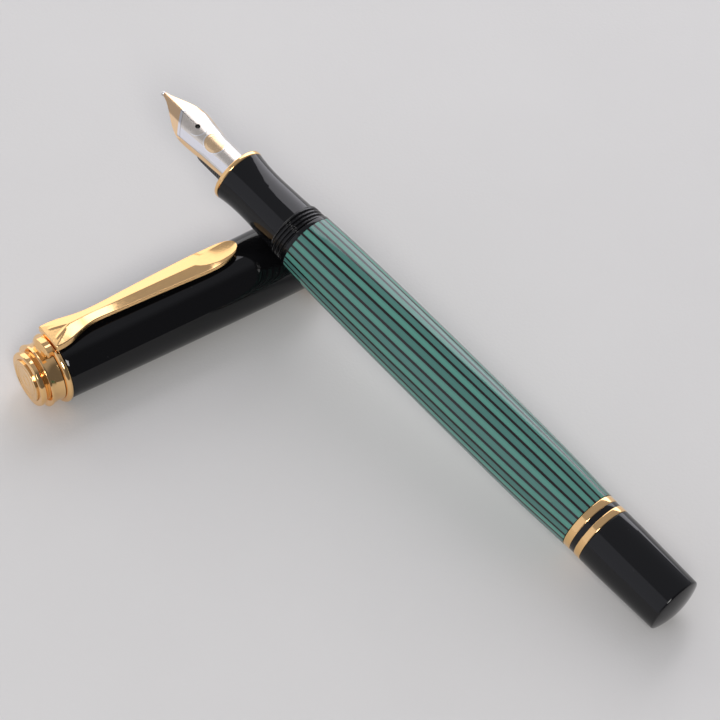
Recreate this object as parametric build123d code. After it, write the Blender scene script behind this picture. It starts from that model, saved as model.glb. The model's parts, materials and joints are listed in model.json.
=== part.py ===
from build123d import *
import math
import os

# A piston-filling fountain pen lying uncapped: the cap lies on its side on the floor, and the
# pen rests across it near the cap's mouth, with the turning knob's rim on the floor.
# All sizes are in millimetres. Two working frames are used, and both are turned about +Z:
#   pen frame: z runs along the axis from the nib's point (0) to the knob's end, +Y is the nib's top
#   cap frame: z runs along the axis from the crown (0) to the open mouth, +Y is the clip's side
# The last section places both in the row frame: +Z up, floor at z = 0.

# ---------------------------------------------------------------- driving dimensions: pen
PEN_LENGTH = 125.0
RING_START, RING_END = 19.1, 20.0
RING_R = 5.12
WAIST_AT, WAIST_R = 26.5, 4.66
SECTION_REAR, SECTION_REAR_R = 33.15, 4.93
THREAD_END = 36.15
SLEEVE_START = 36.9
SLEEVE_END = 104.0
BAND_1_END = 105.4
SPACER_END = 106.4
BAND_2_END = 107.7
KNOB_START = 107.75
KNOB_STRAIGHT = 4.0
KNOB_RIM = 124.0
KNOB_R, KNOB_RIM_R = 5.45, 5.17
KNOB_ROUND = 0.4

THREAD_ROOT_R, THREAD_CREST_R = 4.98, 5.27
THREAD_PITCH = 0.705
THREAD_TURNS = 4
SLEEVE_END_R, SLEEVE_MAX_R = 5.50, 6.02
BAND_R = 5.45
SPACER_R = 5.36

TUBE_R = 5.05
RESERVOIR_R = 4.40
SOCKET_R = 4.60
SECTION_BORE_R = 3.55
SPIGOT_END = 41.5

HOUSING_START = 88.0
HOUSING_PLATE = 2.0
HOUSING_BORE_R = 3.35
SPINDLE_START, SPINDLE_END = 92.5, 121.0
SPINDLE_R = 3.30
SPINDLE_BORE_R = 1.75
O_RING_AT, O_RING_WIDTH = 98.6, 0.8
O_RING_GROOVE_R = 2.75
ROD_R, ROD_FLAT = 1.60, 1.25
ROD_HEAD_START, ROD_HEAD_END, ROD_HEAD_R = 82.6, 84.0, 2.3
ROD_END = 119.0
SEAL_START, SEAL_END = 80.5, 87.3
RUNNING_GAP = 0.05

# ---------------------------------------------------------------- driving dimensions: nib unit
NIB_SHEET = 0.25
NIB_BASE_R = 2.95
NIB_END = 31.0
NIB_HOLE_AT, NIB_HOLE_R = 9.25, 0.46
NIB_SLIT = 0.07
POINT_R, POINT_HEIGHT = 0.42, 2.34
NIB_START = 0.72
COLLAR_START, COLLAR_END = 20.5, 34.5
COLLAR_R = 3.50
FEED_START, FEED_END = 4.6, 36.0
FEED_R = 2.65
FEED_KEEL_START = 20.0
FIN_COUNT, FIN_PITCH, FIN_GAP, FIN_FIRST = 11, 0.9, 0.42, 8.6
FIN_CORE_R = 1.9

# ---------------------------------------------------------------- driving dimensions: cap
CAP_LENGTH = 56.0
MEDALLION_R = 3.60
CROWN_START, CROWN_END, CROWN_R = 0.55, 1.95, 4.75
HOOP_END, HOOP_R = 4.60, 5.55
BEAD_START, BEAD_END, BEAD_R = 4.65, 5.85, 6.20
CAP_TOP_R, CAP_MOUTH_R = 5.90, 6.52
CAP_STRAIGHT_FROM = 46.0
CAP_ROOF_END = 7.4
STEM_R = 2.0
INNER_CAP_END = 29.5
INNER_CAP_R, INNER_CAP_BORE_R = 5.10, 4.30
INNER_CAP_ROOF_END = 9.2
CAP_BORE_R = 5.35
CAP_THREAD_START, CAP_THREAD_END, CAP_THREAD_R = 44.3, 47.5, 5.12
MOUTH_BORE_R = 5.85
THIN_BAND = (51.9, 52.5)
WIDE_BAND = (53.1, 55.4)
BAND_DEPTH = 0.25
LIP_ROUND = 0.2

CLIP_START = 5.05
CLIP_PIVOT = (6.45, 5.20)          # height above the cap's axis, distance along it
CLIP_TOUCH_AT, CLIP_TOUCH_R = 38.0, 0.9
LUG_START, LUG_END, LUG_HALF_WIDTH, LUG_TOP = 2.9, 4.85, 2.2, 7.0

# ---------------------------------------------------------------- driving dimensions: pose
CAP_ROLL = 8.9                     # the clip leans this far from straight up, in degrees
PEN_YAW = 100.4                    # the nib's heading from the cap's axis, in degrees
PEN_ROLL = 8.0                     # the nib's top leans this far towards the crown, in degrees
CROSSING_ON_CAP = 49.5             # where the pen's axis passes over the cap's axis
CROSSING_ON_PEN = 30.0
REST_GAP = 0.28                    # between section and cap, so that the thread clears the cap too


# ---------------------------------------------------------------- small tools
def turned(*outline):
    """A solid of revolution about Z from a closed outline of (radius, z) lines."""
    edges = [edge for line in outline for edge in line.edges()]
    return revolve(Plane.XZ * make_face(edges), Axis.Z, 360)


def tube(inner_r, outer_r, start, end):
    """A plain tube about Z, or a rod when inner_r is 0."""
    corners = [(inner_r, start), (outer_r, start), (outer_r, end), (inner_r, end)]
    return turned(Polyline(*corners, close=True))


def softened(solid, radius, at_least_r):
    """Rounds every circular edge that lies outside a radius."""
    rims = [e for e in solid.edges().filter_by(GeomType.CIRCLE) if e.radius > at_least_r]
    return fillet(rims, radius)


def block(x, y, z):
    """A box from three (low, high) pairs."""
    size = [high - low for low, high in (x, y, z)]
    centre = [(low + high) / 2 for low, high in (x, y, z)]
    return Pos(*centre) * Box(*size)


def ridges(root_r, crest_r, start, pitch, turns):
    """Half of a thread's outline: root and crest points from start, in order of z."""
    points = []
    for turn in range(turns):
        at = start + turn * pitch
        points += [(root_r, at), (crest_r, at + 0.3 * pitch), (crest_r, at + 0.7 * pitch)]
    return points + [(root_r, start + turns * pitch)]


# ---------------------------------------------------------------- pen: section and barrel
def grip_section():
    """Black section: flared behind its ring, waisted, with the cap's thread and a rear spigot."""
    waist, rear = (WAIST_R, WAIST_AT), (SECTION_REAR_R, SECTION_REAR)
    rising = (SECTION_REAR_R - WAIST_R, SECTION_REAR - WAIST_AT)
    flare = Spline((5.04, RING_END), (4.66, 23.2), waist, tangents=[(-0.3, 1), rising])
    thread = ridges(THREAD_ROOT_R, THREAD_CREST_R, SECTION_REAR + 0.12, THREAD_PITCH, THREAD_TURNS)
    rest = [waist, rear, *thread, (5.46, THREAD_END), (5.46, SLEEVE_START)]
    rest += [(SOCKET_R, SLEEVE_START), (SOCKET_R, SPIGOT_END), (3.0, SPIGOT_END), (3.0, 36.4)]
    rest += [(SECTION_BORE_R, 36.4), (SECTION_BORE_R, RING_START + 0.1)]
    rest += [(3.95, RING_START + 0.1), (3.95, RING_END), (5.04, RING_END)]
    return turned(flare, Polyline(*rest))


def section_ring():
    """Gold ring at the section's front edge."""
    return softened(tube(3.95, RING_R, RING_START, RING_END), 0.22, 4.5)


def barrel_tube():
    """Clear ink reservoir, counterbored at the front for the section and behind for the piston."""
    corners = [(SOCKET_R, SLEEVE_START), (TUBE_R, SLEEVE_START), (TUBE_R, SLEEVE_END)]
    corners += [(SOCKET_R, SLEEVE_END), (SOCKET_R, HOUSING_START), (RESERVOIR_R, HOUSING_START)]
    corners += [(RESERVOIR_R, SPIGOT_END), (SOCKET_R, SPIGOT_END)]
    return turned(Polyline(*corners, close=True))


def striped_sleeve():
    """Cigar-shaped celluloid sleeve over the reservoir, fullest behind its middle."""
    outline = Spline((SLEEVE_END_R, SLEEVE_START), (5.79, 46.0), (5.97, 60.0), (SLEEVE_MAX_R, 78.0), (5.88, 95.5),
                     (SLEEVE_END_R, SLEEVE_END))
    inside = Polyline((SLEEVE_END_R, SLEEVE_END), (TUBE_R, SLEEVE_END), (TUBE_R, SLEEVE_START),
                      (SLEEVE_END_R, SLEEVE_START))
    return turned(outline, inside)


def rear_band(start, end):
    """One of the two gold bands in front of the knob."""
    return softened(tube(SOCKET_R, BAND_R, start, end), 0.18, 5.0)


def piston_housing():
    """Brass sleeve for the spindle, with a front plate that only lets the flatted rod through."""
    sleeve = tube(HOUSING_BORE_R, SOCKET_R, HOUSING_START + HOUSING_PLATE, BAND_2_END)
    plate = tube(0, SOCKET_R, HOUSING_START, HOUSING_START + HOUSING_PLATE)
    return sleeve + (plate - flatted_rod(HOUSING_START - 1, HOUSING_START + 3, RUNNING_GAP))


# ---------------------------------------------------------------- pen: knob and piston
def turning_knob():
    """Black knob, straight then slightly tapered, with a domed end and a blind bore."""
    straight_end = KNOB_START + KNOB_STRAIGHT
    side = Polyline((SPINDLE_R, SPINDLE_END), (SPINDLE_R, KNOB_START), (KNOB_R, KNOB_START),
                    (KNOB_R, straight_end), (KNOB_RIM_R, KNOB_RIM))
    dome_rise = PEN_LENGTH - KNOB_RIM
    sphere_r = (KNOB_RIM_R ** 2 + dome_rise ** 2) / (2 * dome_rise)
    half_angle = math.asin(KNOB_RIM_R / sphere_r) / 2
    middle = (sphere_r * math.sin(half_angle), PEN_LENGTH - sphere_r * (1 - math.cos(half_angle)))
    dome = ThreePointArc((KNOB_RIM_R, KNOB_RIM), middle, (0, PEN_LENGTH))
    bore = Polyline((0, PEN_LENGTH), (0, SPINDLE_END), (SPINDLE_R, SPINDLE_END))
    knob = turned(side, dome, bore)
    rim = [e for e in knob.edges().filter_by(GeomType.CIRCLE)
           if abs(e.radius - KNOB_RIM_R) < 0.01 and abs(e.center().Z - KNOB_RIM) < 0.01]
    return fillet(rim, KNOB_ROUND)


def knob_spindle():
    """Brass spindle fixed in the knob: threaded outside for the housing, inside for the rod."""
    groove_start = O_RING_AT - O_RING_WIDTH / 2 - RUNNING_GAP
    groove_end = O_RING_AT + O_RING_WIDTH / 2 + RUNNING_GAP
    corners = [(SPINDLE_BORE_R, SPINDLE_START), (SPINDLE_R, SPINDLE_START), (SPINDLE_R, groove_start)]
    corners += [(O_RING_GROOVE_R, groove_start), (O_RING_GROOVE_R, groove_end)]
    corners += [(SPINDLE_R, groove_end), (SPINDLE_R, SPINDLE_END), (0, SPINDLE_END)]
    corners += [(0, SPINDLE_END - 1), (SPINDLE_BORE_R, SPINDLE_END - 1)]
    return turned(Polyline(*corners, close=True))


def spindle_o_ring():
    """Rubber ring in the spindle's groove: it travels with the spindle and gives its drag."""
    inner, outer = O_RING_GROOVE_R + RUNNING_GAP, HOUSING_BORE_R - 0.02
    ring = tube(inner, outer, O_RING_AT - O_RING_WIDTH / 2, O_RING_AT + O_RING_WIDTH / 2)
    return softened(ring, 0.2, 0)


def flatted_rod(start, end, grown=0.0):
    """A round rod with two flats, which can't turn in a hole of its own shape."""
    wide, thick = ROD_R + grown, ROD_FLAT + grown
    return tube(0, wide, start, end) & block((-wide, wide), (-thick, thick), (start, end))


def piston_rod():
    """Flatted rod with a round head that holds the seal."""
    return tube(0, ROD_HEAD_R, ROD_HEAD_START, ROD_HEAD_END) + flatted_rod(ROD_HEAD_END, ROD_END)


def piston_seal():
    """White plug with two sealing lips, hollow behind for the rod's head."""
    lip, waist = RESERVOIR_R - RUNNING_GAP, 4.0
    outer = [(0, SEAL_START), (3.6, SEAL_START), (lip, 81.3), (lip, 82.1), (waist, 82.7)]
    outer += [(waist, 85.2), (lip, 85.8), (lip, 86.6), (waist, SEAL_END)]
    plug = turned(Polyline(*outer, (0, SEAL_END), close=True))
    hollow = tube(0, ROD_HEAD_R, ROD_HEAD_START, ROD_HEAD_END)
    return plug - hollow - flatted_rod(ROD_HEAD_END, SEAL_END + 1)


# ---------------------------------------------------------------- pen: nib unit
def crescent(z, arc_r, top, half_angle, thickness):
    """A bent strip's cross-section: an arc band whose crown is at height top."""
    centre = top - arc_r

    def at(radius, degrees):
        turn = math.radians(degrees)
        return (radius * math.sin(turn), centre + radius * math.cos(turn))

    outer_r, inner_r = arc_r, arc_r - thickness
    outline = [ThreePointArc(at(outer_r, -half_angle), at(outer_r, 0), at(outer_r, half_angle)),
               Line(at(outer_r, half_angle), at(inner_r, half_angle)),
               ThreePointArc(at(inner_r, half_angle), at(inner_r, 0), at(inner_r, -half_angle)),
               Line(at(inner_r, -half_angle), at(outer_r, -half_angle))]
    return Pos(0, 0, z) * make_face(outline)


def nib_sheet():
    """The nib's bent sheet before it is cut to outline: round at its base, flatter to the point."""
    base = (NIB_BASE_R, NIB_BASE_R)
    sections = [(NIB_END, *base, 70.7), (20.0, *base, 70.7), (15.0, *base, 79.8), (12.0, 3.38, 2.92, 72.4),
                (10.0, 3.66, 2.89, 66.5), (8.6, 4.0, 2.87, 59.4), (6.0, 4.2, 2.84, 56), (0.0, 3.9, 2.75, 45)]
    return loft([crescent(*section, NIB_SHEET) for section in sections], ruled=True)


def nib_outline():
    """The nib seen from above: a slim point, rounded shoulders and a straight base."""
    half = [(0.34, NIB_START), (0.75, 2.0), (1.52, 3.5), (2.35, 5.0), (2.97, 6.2), (3.30, 7.4), (3.6, 8.6),
            (3.7, 10.8)]
    side = Spline(*half)
    mirrored = Spline(*[(-x, z) for x, z in half])
    point = Line((-half[0][0], half[0][1]), half[0])
    base = Polyline(half[-1], (half[-1][0], NIB_END), (-half[-1][0], NIB_END), (-half[-1][0], half[-1][1]))
    face = make_face([point, side, base, mirrored])
    return extrude(Plane.XZ * face, amount=5, both=True)


def nib():
    """Bent nib with its breather hole and slit."""
    blank = nib_sheet() & nib_outline()
    hole = Pos(0, 0, NIB_HOLE_AT) * Rot(90, 0, 0) * Cylinder(NIB_HOLE_R, 12)
    slit = block((-NIB_SLIT / 2, NIB_SLIT / 2), (0, 4), (-1, NIB_HOLE_AT))
    return blank - hole - slit


def nib_point():
    """Hard tipping bead at the nib's point, flat where it is welded on."""
    bead = Pos(0, POINT_HEIGHT, POINT_R) * Sphere(POINT_R)
    return bead & block((-1, 1), (0, 4), (-1, NIB_START))


def feed():
    """Black ebonite feed: round body, slender nose, comb of fins, and a seat for the nib's sides."""
    side = Polyline((FEED_START, 2.2), (FEED_START, 1.7), (9.0, -0.5), (13.0, -2.1), (17.5, -FEED_R),
                    (NIB_END, -FEED_R), (NIB_END, FEED_R), (15.0, FEED_R), close=True)
    profile = Plane(origin=(0, 0, 0), x_dir=(0, 0, 1), z_dir=(-1, 0, 0)) * make_face(side)
    plan = Polyline((-0.5, FEED_START), (0.5, FEED_START), (1.6, 8.0), (FEED_R, 13.0), (FEED_R, NIB_END),
                    (-FEED_R, NIB_END), (-FEED_R, 13.0), (-1.6, 8.0), close=True)
    body = tube(0, FEED_R, FEED_START, NIB_END)
    body = body & extrude(profile, amount=5, both=True)
    body = body & extrude(Plane.XZ * make_face(plan), amount=5, both=True)
    for fin in range(FIN_COUNT):
        at = FIN_FIRST + fin * FIN_PITCH
        body = body - (tube(FIN_CORE_R, 4, at, at + FIN_GAP) & block((-4, 4), (-4, 0.3), (at, at + FIN_GAP)))
    below = tube(FEED_R, NIB_BASE_R, FEED_KEEL_START, NIB_END) & block((-4, 4), (-4, 0.3), (0, NIB_END))
    return body + below + tube(0, NIB_BASE_R, NIB_END + RUNNING_GAP, FEED_END) + tube(0, 2.0, NIB_END - 1, FEED_END)


def nib_collar():
    """Threaded holder that grips nib and feed and screws into the section."""
    return tube(NIB_BASE_R, COLLAR_R, COLLAR_START, COLLAR_END)


# ---------------------------------------------------------------- cap
def cap_outside():
    """The cap's outer outline, which swells gently from the crown end to the mouth."""
    swell = Spline((CAP_TOP_R, BEAD_END), (6.29, 25.0), (CAP_MOUTH_R, CAP_STRAIGHT_FROM),
                   tangents=[(0.022, 1), (0, 1)])
    return swell, Line((CAP_MOUTH_R, CAP_STRAIGHT_FROM), (CAP_MOUTH_R, CAP_LENGTH))


def cap_tube():
    """Black cap: bored in steps, threaded near its mouth, with two seats for the lip bands."""
    thread = ridges(CAP_BORE_R, CAP_THREAD_R, CAP_THREAD_START + 0.1, THREAD_PITCH, THREAD_TURNS)
    inside = [(CAP_MOUTH_R, CAP_LENGTH), (MOUTH_BORE_R, CAP_LENGTH), (MOUTH_BORE_R, CAP_THREAD_END)]
    inside += [(CAP_BORE_R, CAP_THREAD_END), *reversed(thread), (CAP_BORE_R, INNER_CAP_END)]
    inside += [(INNER_CAP_R, INNER_CAP_END), (INNER_CAP_R, CAP_ROOF_END), (STEM_R, CAP_ROOF_END)]
    inside += [(STEM_R, BEAD_END), (CAP_TOP_R, BEAD_END)]
    shell = turned(*cap_outside(), Polyline(*inside))
    mouth = [e for e in shell.edges().filter_by(GeomType.CIRCLE) if e.center().Z > CAP_LENGTH - 0.01]
    shell = fillet(mouth, LIP_ROUND)
    return shell - lip_band(*THIN_BAND) - lip_band(*WIDE_BAND)


def lip_band(start, end):
    """A gold band let flush into the cap's wall."""
    return tube(CAP_MOUTH_R - BAND_DEPTH, CAP_MOUTH_R, start, end)


def inner_cap():
    """Cup that seals against the section's ring when the pen is capped."""
    corners = [(0, CAP_ROOF_END), (INNER_CAP_R, CAP_ROOF_END), (INNER_CAP_R, INNER_CAP_END)]
    corners += [(INNER_CAP_BORE_R, INNER_CAP_END), (INNER_CAP_BORE_R, INNER_CAP_ROOF_END)]
    return turned(Polyline(*corners, (0, INNER_CAP_ROOF_END), close=True))


def bead_ring():
    """Rounded gold ring between the clip's hoop and the cap."""
    middle = (BEAD_START + BEAD_END) / 2
    bulge = ThreePointArc((5.6, BEAD_START), (BEAD_R, middle), (5.6, BEAD_END))
    inside = Polyline((5.6, BEAD_END), (STEM_R, BEAD_END), (STEM_R, BEAD_START), (5.6, BEAD_START))
    return turned(bulge, inside)


def clip_hoop():
    """Gold collar that carries the clip, with a sharp front rim, a hollow waist and the lug."""
    outline = [Line((STEM_R, CROWN_END), (HOOP_R, CROWN_END)),
               Line((HOOP_R, CROWN_END), (HOOP_R, CROWN_END + 0.3)),
               ThreePointArc((HOOP_R, CROWN_END + 0.3), (5.27, 3.6), (5.36, HOOP_END)),
               Polyline((5.36, HOOP_END), (STEM_R, HOOP_END), (STEM_R, CROWN_END))]
    lug = block((-LUG_HALF_WIDTH, LUG_HALF_WIDTH), (4.0, LUG_TOP), (LUG_START, LUG_END))
    lug = lug - tube(0, BEAD_R + 0.04, HOOP_END, LUG_END + 1)
    lug = lug & turned(Polyline((0, LUG_START), (5.3, LUG_START), (LUG_TOP, 4.2), (LUG_TOP, LUG_END),
                                (0, LUG_END), close=True))
    return turned(*outline) + lug


def crown():
    """Stepped gold crown behind the medallion."""
    bulge = ThreePointArc((4.25, CROWN_START), (CROWN_R, 1.05), (4.45, 1.55))
    rest = [(4.45, 1.55), (4.3, 1.62), (4.3, CROWN_END), (STEM_R, CROWN_END), (STEM_R, 0.85)]
    rest += [(MEDALLION_R, 0.85), (MEDALLION_R, CROWN_START), (4.25, CROWN_START)]
    return turned(bulge, Polyline(*rest))


def crown_medallion():
    """Plain round disc with a raised rim and two fine rings."""
    face = [(0, 0.85), (MEDALLION_R, 0.85), (MEDALLION_R, 0.06), (MEDALLION_R - 0.06, 0)]
    face += [(3.22, 0), (3.12, 0.14), (2.5, 0.14), (2.44, 0.08), (2.34, 0.08), (2.28, 0.14)]
    face += [(1.1, 0.14), (1.04, 0.08), (0.94, 0.08), (0.88, 0.14), (0, 0.14)]
    return turned(Polyline(*face, close=True))


def crown_screw():
    """Steel stud that clamps crown, hoop and bead ring to the cap's roof."""
    return tube(0, STEM_R, 0.85, CAP_ROOF_END)


def clip_section(z, half_width, edge, ridge, under):
    """The clip's five-sided cross-section at a distance along the cap."""
    corners = [(-half_width, edge), (0, ridge), (half_width, edge), (half_width, under), (-half_width, under)]
    return Pos(0, 0, z) * make_face(Polyline(*corners, close=True))


def clip_arm():
    """Gold clip: wide root, slim waist, spoon-shaped end with a touching bump below it."""
    sections = [(CLIP_START, 2.95, 7.40, 7.85, 6.30), (7.2, 2.85, 7.45, 7.95, 6.38),
                (10.0, 2.20, 7.65, 8.15, 6.75), (13.2, 1.55, 7.88, 8.22, 7.15),
                (17.0, 1.70, 7.83, 8.12, 7.20), (25.3, 2.12, 7.80, 8.02, 7.22),
                (33.5, 2.52, 7.68, 7.92, 7.08), (37.0, 2.48, 7.62, 7.68, 7.00),
                (39.4, 2.15, 7.92, 7.94, 7.25), (40.6, 1.65, 8.14, 8.16, 7.50),
                (41.3, 1.10, 8.30, 8.32, 7.75), (41.7, 0.50, 8.40, 8.42, 7.95)]
    arm = loft([clip_section(*section) for section in sections], ruled=True)
    bump = Pos(0, CAP_MOUTH_R + 0.02 + CLIP_TOUCH_R, CLIP_TOUCH_AT) * Sphere(CLIP_TOUCH_R)
    return arm + (bump & block((-2, 2), (0, 7.2), (30, 42)))


# ---------------------------------------------------------------- pose in the row frame
def cap_plane():
    """The cap lies on its bead ring and its mouth, with its axis along +X."""
    bead_at = (BEAD_START + BEAD_END) / 2
    rise = math.asin((CAP_MOUTH_R - BEAD_R) / (CAP_STRAIGHT_FROM - bead_at))
    along = Vector(math.cos(rise), 0, math.sin(rise))
    height = BEAD_R * math.cos(rise) - bead_at * math.sin(rise)
    up = Vector(0, 0, 1).rotate(Axis.X, -CAP_ROLL)
    return Plane(origin=(0, 0, height), x_dir=up.cross(along), z_dir=along)


def section_radius(z):
    """The grip section's radius where the pen rests on the cap."""
    share = (z - WAIST_AT) / (SECTION_REAR - WAIST_AT)
    return WAIST_R + (SECTION_REAR_R - WAIST_R) * share


def pen_plane():
    """The pen leans from the floor, at its knob's rim, up over the cap."""
    cap = cap_plane()
    crossing = cap.from_local_coords(Vector(0, 0, CROSSING_ON_CAP))
    wanted = CAP_MOUTH_R + section_radius(CROSSING_ON_PEN) + REST_GAP
    rim_at = KNOB_RIM - KNOB_ROUND

    def lean_and_distance(degrees):
        lean, yaw = math.radians(degrees), math.radians(PEN_YAW)
        to_nib = Vector(math.cos(yaw) * math.cos(lean), math.sin(yaw) * math.cos(lean), math.sin(lean))
        rim_height = (KNOB_RIM_R - KNOB_ROUND) * math.cos(lean) + KNOB_ROUND
        height = rim_height + (rim_at - CROSSING_ON_PEN) * math.sin(lean)
        over = Vector(crossing.X, crossing.Y, height)
        normal = to_nib.cross(cap.z_dir).normalized()
        return over, to_nib, abs((over - crossing).dot(normal))

    low, high = 1.0, 20.0
    while high - low > 1e-7:
        middle = (low + high) / 2
        if lean_and_distance(middle)[2] < wanted:
            low = middle
        else:
            high = middle
    over, to_nib, _ = lean_and_distance(high)
    to_knob = to_nib * -1
    up = (Vector(0, 0, 1) - to_nib * to_nib.Z).normalized()
    roll = math.radians(PEN_ROLL)
    x_dir = up.cross(to_knob) * math.cos(roll) + up * math.sin(roll)
    return Plane(origin=over + to_nib * CROSSING_ON_PEN, x_dir=x_dir, z_dir=to_knob)


def pen_pieces():
    """Every node of the pen, in the pen's frame."""
    return {
        "grip_section": grip_section(),
        "section_ring": section_ring(),
        "barrel_tube": barrel_tube(),
        "striped_sleeve": striped_sleeve(),
        "rear_band_front": rear_band(SLEEVE_END, BAND_1_END),
        "rear_band_spacer": tube(SOCKET_R, SPACER_R, BAND_1_END, SPACER_END),
        "rear_band_back": rear_band(SPACER_END, BAND_2_END),
        "piston_housing": piston_housing(),
        "turning_knob": turning_knob(),
        "knob_spindle": knob_spindle(),
        "spindle_o_ring": spindle_o_ring(),
        "piston_rod": piston_rod(),
        "piston_seal": piston_seal(),
        "nib": nib(),
        "nib_point": nib_point(),
        "feed": feed(),
        "nib_collar": nib_collar(),
    }


def cap_pieces():
    """Every node of the cap, in the cap's frame."""
    return {
        "cap_tube": cap_tube(),
        "inner_cap": inner_cap(),
        "lip_band_wide": lip_band(*WIDE_BAND),
        "lip_band_thin": lip_band(*THIN_BAND),
        "bead_ring": bead_ring(),
        "clip_hoop": clip_hoop(),
        "crown": crown(),
        "crown_medallion": crown_medallion(),
        "crown_screw": crown_screw(),
        "clip_arm": clip_arm(),
    }


def placed():
    """All nodes in the row frame, and the shift that puts the origin under the middle."""
    nodes = {name: pen_plane().location * piece for name, piece in pen_pieces().items()}
    nodes.update({name: cap_plane().location * piece for name, piece in cap_pieces().items()})
    box = Compound(children=[Compound(piece.solids()) for piece in nodes.values()]).bounding_box()
    shift = Pos(-(box.min.X + box.max.X) / 2, -(box.min.Y + box.max.Y) / 2, -box.min.Z)
    return {name: shift * piece for name, piece in nodes.items()}, shift


def main():
    os.makedirs("parts", exist_ok=True)
    nodes, _ = placed()
    for name, piece in nodes.items():
        solids = piece.solids()
        export_step(solids[0] if len(solids) == 1 else Compound(solids), f"parts/{name}.step")


if __name__ == "__main__":
    main()
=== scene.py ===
import json
import math

import bpy
from mathutils import Matrix, Vector


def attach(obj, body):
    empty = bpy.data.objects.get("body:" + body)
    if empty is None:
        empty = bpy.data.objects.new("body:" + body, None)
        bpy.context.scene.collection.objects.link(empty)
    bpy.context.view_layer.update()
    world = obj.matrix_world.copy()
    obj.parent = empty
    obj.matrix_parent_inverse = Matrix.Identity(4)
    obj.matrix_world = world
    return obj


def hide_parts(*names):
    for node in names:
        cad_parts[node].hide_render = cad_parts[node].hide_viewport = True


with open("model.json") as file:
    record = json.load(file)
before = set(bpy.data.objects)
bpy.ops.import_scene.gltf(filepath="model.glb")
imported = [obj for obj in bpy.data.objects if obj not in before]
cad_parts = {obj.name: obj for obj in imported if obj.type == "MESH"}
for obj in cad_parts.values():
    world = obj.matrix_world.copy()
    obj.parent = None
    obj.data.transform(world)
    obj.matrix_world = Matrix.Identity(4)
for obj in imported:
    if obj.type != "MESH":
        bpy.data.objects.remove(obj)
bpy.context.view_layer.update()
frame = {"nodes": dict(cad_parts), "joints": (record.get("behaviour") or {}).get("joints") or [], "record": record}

# An uncapped fountain pen resting across its own cap. Every piece is built in millimetres in one
# of two local frames and then placed in the row frame, in metres:
#   pen frame: z from the nib's point (0) to the knob's end, +y towards the nib's top
#   cap frame: z from the crown (0) to the open mouth, +y towards the clip
MM = 0.001
# the knob_turn joint's place along the pen, the nib's roll about it, the cap_mouth mount's place in the cap
KNOB_START = 107.75
PEN_ROLL = math.radians(8)
MOUTH_MIDDLE = 51.75
# steps round a lathed piece, the angle that stays sharp, the radius that counts as the axis itself
SEGMENTS = 192
SHARP = math.radians(38)
ON_AXIS = 1e-6
# texture coordinate per millimetre along a lathed piece
UV_PER_MM = 0.01
# points between two rows of a smoothed table
TABLE_STEPS = 8


# ------------------------------------------------------------------ placing
def axes_matrix(origin, x, y, z):
    """Row-frame matrix of a local frame whose unit is the millimetre."""
    columns = [axis.normalized() * MM for axis in (x, y, z)]
    rows = [[column[i] for column in columns] + [origin[i]] for i in range(3)]
    return Matrix(rows + [[0, 0, 0, 1]])


def pen_frame():
    turn = next(j for j in frame["joints"] if j["name"] == "knob_turn")
    z = Vector(turn["axis"]).normalized()
    up = (Vector((0, 0, 1)) - z * z.z).normalized()
    y = up * math.cos(PEN_ROLL) - up.cross(z) * math.sin(PEN_ROLL)
    origin = Vector(turn["pos_m"]) - z * KNOB_START * MM
    return axes_matrix(origin, y.cross(z), y, z)


def cap_frame():
    mouth = next(m for m in frame["record"]["mounts"] if m["name"] == "cap_mouth")
    flex = next(j for j in frame["joints"] if j["name"] == "clip_flex")
    z = Vector(mouth["axis"]).normalized()
    x = Vector(flex["axis"]) * -1
    origin = Vector(mouth["pos_m"]) - z * MOUTH_MIDDLE * MM
    return axes_matrix(origin, x, z.cross(x), z)


PEN = pen_frame()
CAP = cap_frame()


# ------------------------------------------------------------------ outlines
def rounded(corners, radius, steps=5, closed=True):
    """Rounds a polygon's corners; a corner (x, y, r) states its own radius."""
    result = []
    count = len(corners)
    for i, corner in enumerate(corners):
        here = Vector(corner[:2])
        r = corner[2] if len(corner) > 2 else radius
        ends = not closed and i in (0, count - 1)
        if r == 0 or ends:
            result.append(tuple(here))
            continue
        back = Vector(corners[i - 1][:2]) - here
        ahead = Vector(corners[(i + 1) % count][:2]) - here
        half = back.angle(ahead) / 2
        reach = min(r / math.tan(half), 0.49 * back.length, 0.49 * ahead.length)
        start = here + back.normalized() * reach
        end = here + ahead.normalized() * reach
        for step in range(steps + 1):
            t = step / steps
            result.append(tuple(start * (1 - t) ** 2 + here * 2 * t * (1 - t) + end * t ** 2))
    return result


def smooth_through(points, count):
    """A smooth curve through points (Catmull-Rom), as count points between each pair."""
    padded = [Vector(p) for p in points]
    padded = [padded[0] * 2 - padded[1]] + padded + [padded[-1] * 2 - padded[-2]]
    curve = []
    for i in range(1, len(padded) - 2):
        a, b, c, d = padded[i - 1:i + 3]
        for step in range(count):
            t = step / count
            curve.append(0.5 * (2 * b + (c - a) * t + (2 * a - 5 * b + 4 * c - d) * t ** 2
                                + (3 * b - a - 3 * c + d) * t ** 3))
    curve.append(padded[-2])
    return [tuple(p) for p in curve]


def smooth_table(table):
    """A denser, smooth version of a table of pairs, for even curves."""
    return smooth_through(table, TABLE_STEPS)


def between(z, table):
    """The value at z in a table of (z, value) pairs, in straight lines between them."""
    if z <= table[0][0]:
        return table[0][1]
    for (z0, v0), (z1, v1) in zip(table, table[1:]):
        if z <= z1:
            t = (z - z0) / (z1 - z0)
            return v0 + (v1 - v0) * t
    return table[-1][1]


def ease(low, high, value):
    """0 up to low and 1 from high, smooth between; a falling step has low above high."""
    t = min(1, max(0, (value - low) / (high - low)))
    return t * t * (3 - 2 * t)


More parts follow.
